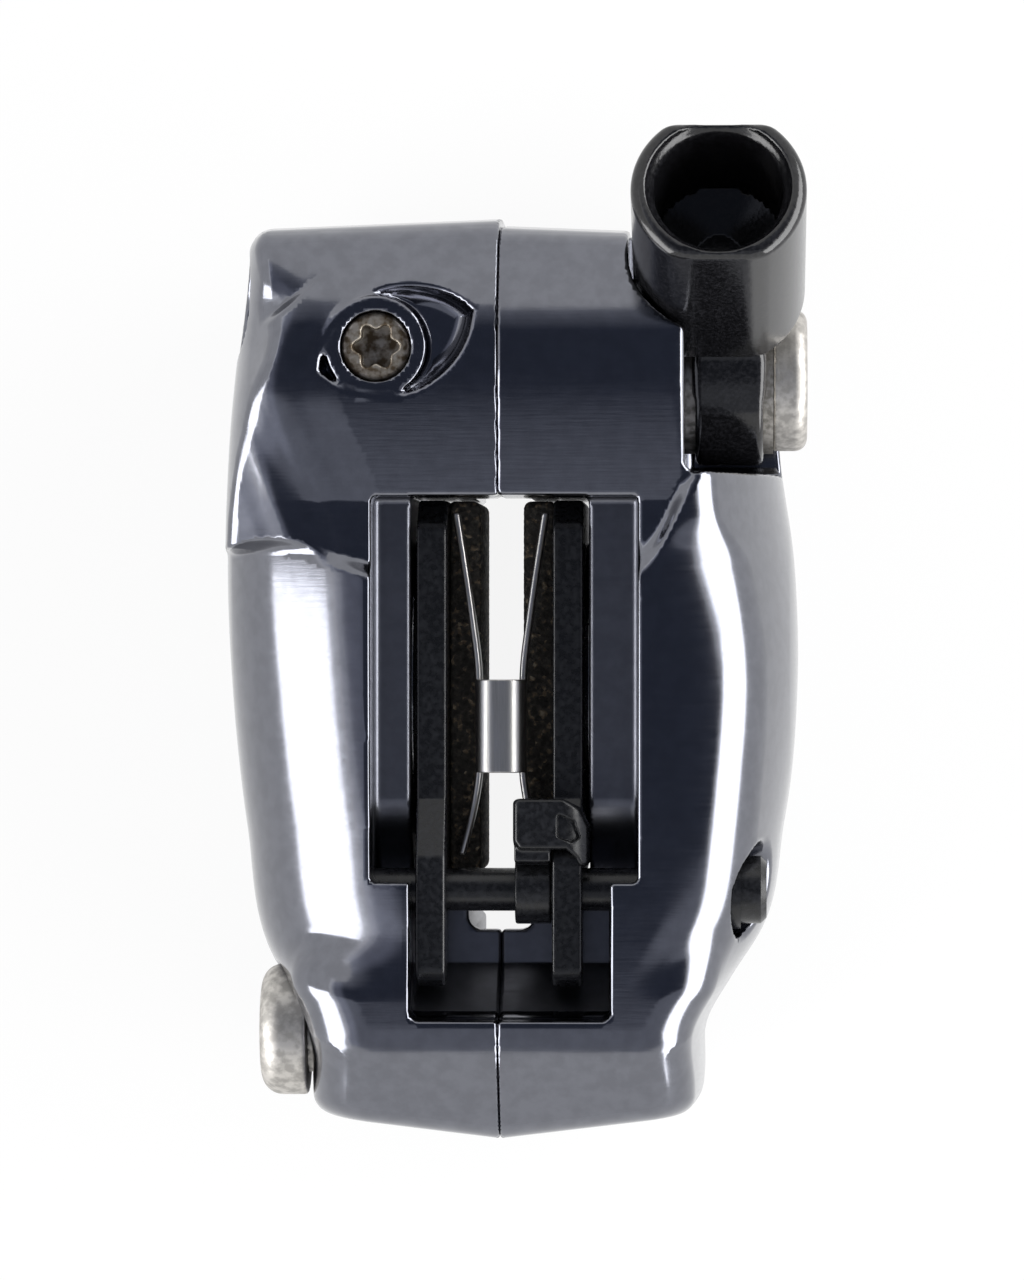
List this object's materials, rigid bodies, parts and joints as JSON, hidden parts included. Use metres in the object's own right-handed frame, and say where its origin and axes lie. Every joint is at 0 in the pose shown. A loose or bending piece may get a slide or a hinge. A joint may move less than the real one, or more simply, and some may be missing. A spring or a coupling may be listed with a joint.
{
  "type": "bicycle disc brake caliper",
  "caption": "Two-piece hydraulic disc brake caliper with opposed pistons, pads, pin and swivel hose fitting.",
  "frame": {"origin": "middle of the two frame bolts, on the face that sits on the frame", "axes": "+X across the rotor towards the hose side, +Y along the pads towards the hose fitting, +Z from the frame towards the pad window"},
  "size_m": [0.0414, 0.0702, 0.0388],
  "materials": {
    "anodised_body": "glossy dark blue-grey anodised",
    "piston_steel": "ground",
    "phenolic": "moulded phenolic",
    "seal_rubber": "moulded",
    "black_steel": "black coated steel",
    "friction_material": "sintered, grainy",
    "spring_steel": "brushed stainless",
    "silver_bolt": "matte zinc",
    "banjo_black": "glossy black",
    "washer_metal": "dull",
    "worn_steel": "dirty, worn"
  },
  "bodies": {
    "caliper_body": {"caliper_half_inner": "anodised_body", "caliper_half_outer": "anodised_body", "piston_seal_inner": "seal_rubber", "piston_seal_outer": "seal_rubber", "pad_spring": "spring_steel", "pad_pin": "black_steel", "body_bolts": "silver_bolt", "transfer_seal": "seal_rubber", "banjo_bolt": "silver_bolt", "banjo_washer_inner": "washer_metal", "banjo_washer_outer": "washer_metal", "bleed_screw": "worn_steel", "bleed_seal": "seal_rubber"},
    "piston_out": {"piston_outer": "piston_steel", "piston_insert_outer": "phenolic"},
    "piston_in": {"piston_inner": "piston_steel", "piston_insert_inner": "phenolic"},
    "pad_out": {"pad_plate_outer": "black_steel", "pad_lining_outer": "friction_material", "pad_clip": "black_steel"},
    "pad_in": {"pad_plate_inner": "black_steel", "pad_lining_inner": "friction_material"},
    "hose_fitting": {"banjo_fitting": "banjo_black"}
  },
  "joints": [
    {"name": "piston_outer_slide", "type": "slide", "parent": "caliper_body", "child": "piston_out", "axis": [-1, 0, 0], "range_m": [0, 0.0014], "stiffness_N_per_m": 400, "deforming": ["pad_spring"]},
    {"name": "piston_inner_slide", "type": "slide", "parent": "caliper_body", "child": "piston_in", "axis": [1, 0, 0], "range_m": [0, 0.0014]},
    {"name": "pad_outer_slide", "type": "slide", "parent": "caliper_body", "child": "pad_out", "axis": [-1, 0, 0], "range_m": [0, 0.0014]},
    {"name": "pad_inner_slide", "type": "slide", "parent": "caliper_body", "child": "pad_in", "axis": [1, 0, 0], "range_m": [0, 0.0014]},
    {"name": "banjo_swivel", "type": "hinge", "parent": "caliper_body", "child": "hose_fitting", "pos_m": [-0.014, 0.0218, 0.017], "axis": [-1, 0, 0], "range_deg": [0, 40]}
  ],
  "couplings": [
    {"joint": "piston_inner_slide", "follows": "piston_outer_slide", "ratio": 1},
    {"joint": "pad_outer_slide", "follows": "piston_outer_slide", "ratio": 1},
    {"joint": "pad_inner_slide", "follows": "piston_outer_slide", "ratio": 1}
  ]
}
